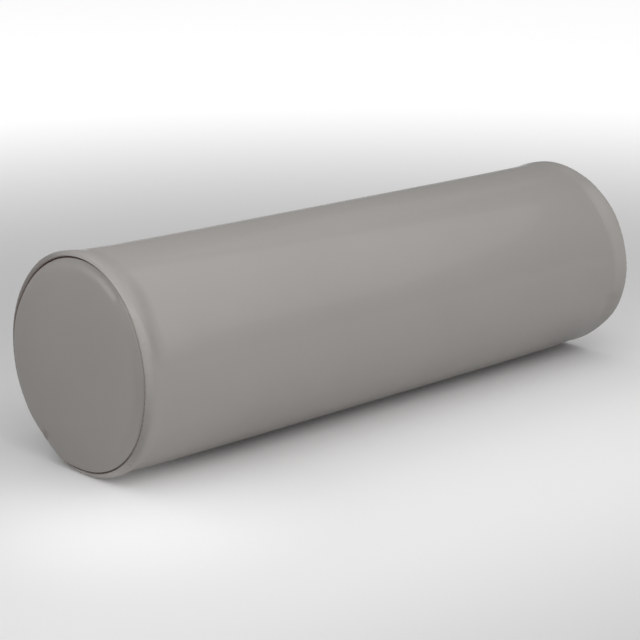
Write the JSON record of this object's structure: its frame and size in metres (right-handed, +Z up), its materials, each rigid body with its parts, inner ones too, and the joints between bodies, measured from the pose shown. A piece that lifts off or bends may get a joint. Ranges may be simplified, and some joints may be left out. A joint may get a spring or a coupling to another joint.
{
  "type": "knee roll",
  "caption": "Firm foam knee roll in a smooth taupe-grey vinyl cover, round end panels sewn in, lying on a small flat strip.",
  "frame": {"origin": "middle of the underside, on the surface the roll lies on", "axes": "+X along the roll, -X being the end seen in the picture, +Z up, -Y the long side seen in the picture"},
  "size_m": [0.4962, 0.1562, 0.1525],
  "materials": {
    "vinyl": "satin smooth vinyl with a very fine grain"
  },
  "bodies": {
    "root": {"wrap_panel": "vinyl", "end_panel_left": "vinyl", "end_panel_right": "vinyl"}
  },
  "joints": []
}
